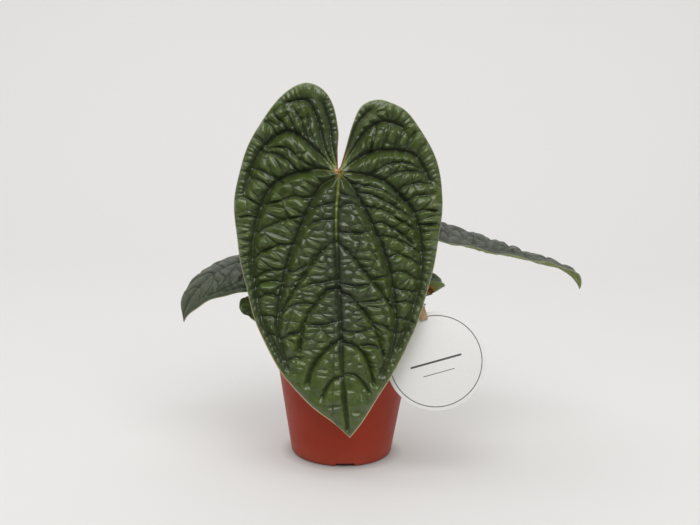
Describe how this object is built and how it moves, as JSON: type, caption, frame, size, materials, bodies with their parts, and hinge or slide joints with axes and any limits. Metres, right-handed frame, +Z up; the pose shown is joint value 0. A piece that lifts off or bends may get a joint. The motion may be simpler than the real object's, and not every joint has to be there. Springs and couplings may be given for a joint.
{
  "type": "potted quilted-leaf anthurium",
  "caption": "Aroid house plant with heart-shaped, deeply quilted dark green leaves on slender petioles, in a round nursery pot of soil, with a round label on a stick.",
  "frame": {"origin": "middle of the plant's bounding box, on the surface that the pot stands on", "axes": "+Z up; -Y is the side that the large leaf faces; +X towards the longest side leaf and the label"},
  "size_m": [0.3374, 0.176, 0.3175],
  "materials": {
    "pot_plastic": "satin brick-red moulded plastic",
    "potting_soil": "loose peat and bark",
    "crown": "matte fleshy stem",
    "dry_sheath": "dry papery bract",
    "leaf_blade": "glossy leathery leaf",
    "petiole": "smooth green stalk",
    "label_card": "matte white card",
    "peg_wood": "plain pale wood",
    "spring_wire": "plain spring wire",
    "stick_wood": "plain bamboo"
  },
  "bodies": {
    "root": {"pot": "pot_plastic", "soil": "potting_soil", "crown": "crown", "sheath_1": "dry_sheath", "sheath_2": "dry_sheath", "sheath_3": "dry_sheath", "leaf_front_blade": "leaf_blade", "leaf_front_petiole": "petiole", "leaf_left_blade": "leaf_blade", "leaf_left_petiole": "petiole", "leaf_right_blade": "leaf_blade", "leaf_right_petiole": "petiole", "leaf_small_left_blade": "leaf_blade", "leaf_small_left_petiole": "petiole", "leaf_small_right_blade": "leaf_blade", "leaf_small_right_petiole": "petiole", "label_card": "label_card", "peg_arm_back": "peg_wood", "peg_arm_front": "peg_wood", "peg_spring": "spring_wire", "label_stick": "stick_wood"}
  },
  "joints": []
}
